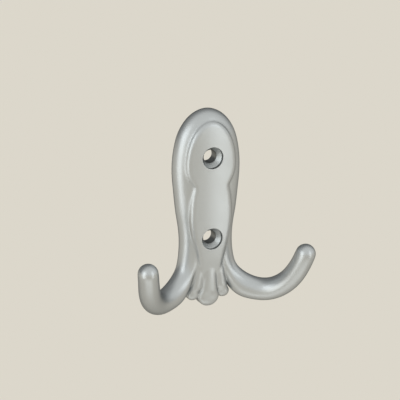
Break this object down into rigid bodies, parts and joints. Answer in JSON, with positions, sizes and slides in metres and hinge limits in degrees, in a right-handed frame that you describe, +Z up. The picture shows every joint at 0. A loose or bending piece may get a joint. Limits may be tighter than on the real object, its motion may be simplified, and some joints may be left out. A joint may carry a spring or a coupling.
{
  "type": "wall hook",
  "caption": "Cast wall hook: a domed plate with a raised waisted panel and countersunk screw holes, a fluted foot, and round arms that sweep out and up to domed tips.",
  "frame": {"origin": "on the wall plane, midway between the screw holes", "axes": "-Y is the front and points away from the wall, +Z is up, +X is to the right seen from the front"},
  "size_m": [0.0726, 0.0263, 0.078],
  "materials": {
    "satin_metal": "satin"
  },
  "bodies": {
    "root": {"hook_body": "satin_metal"}
  },
  "joints": []
}
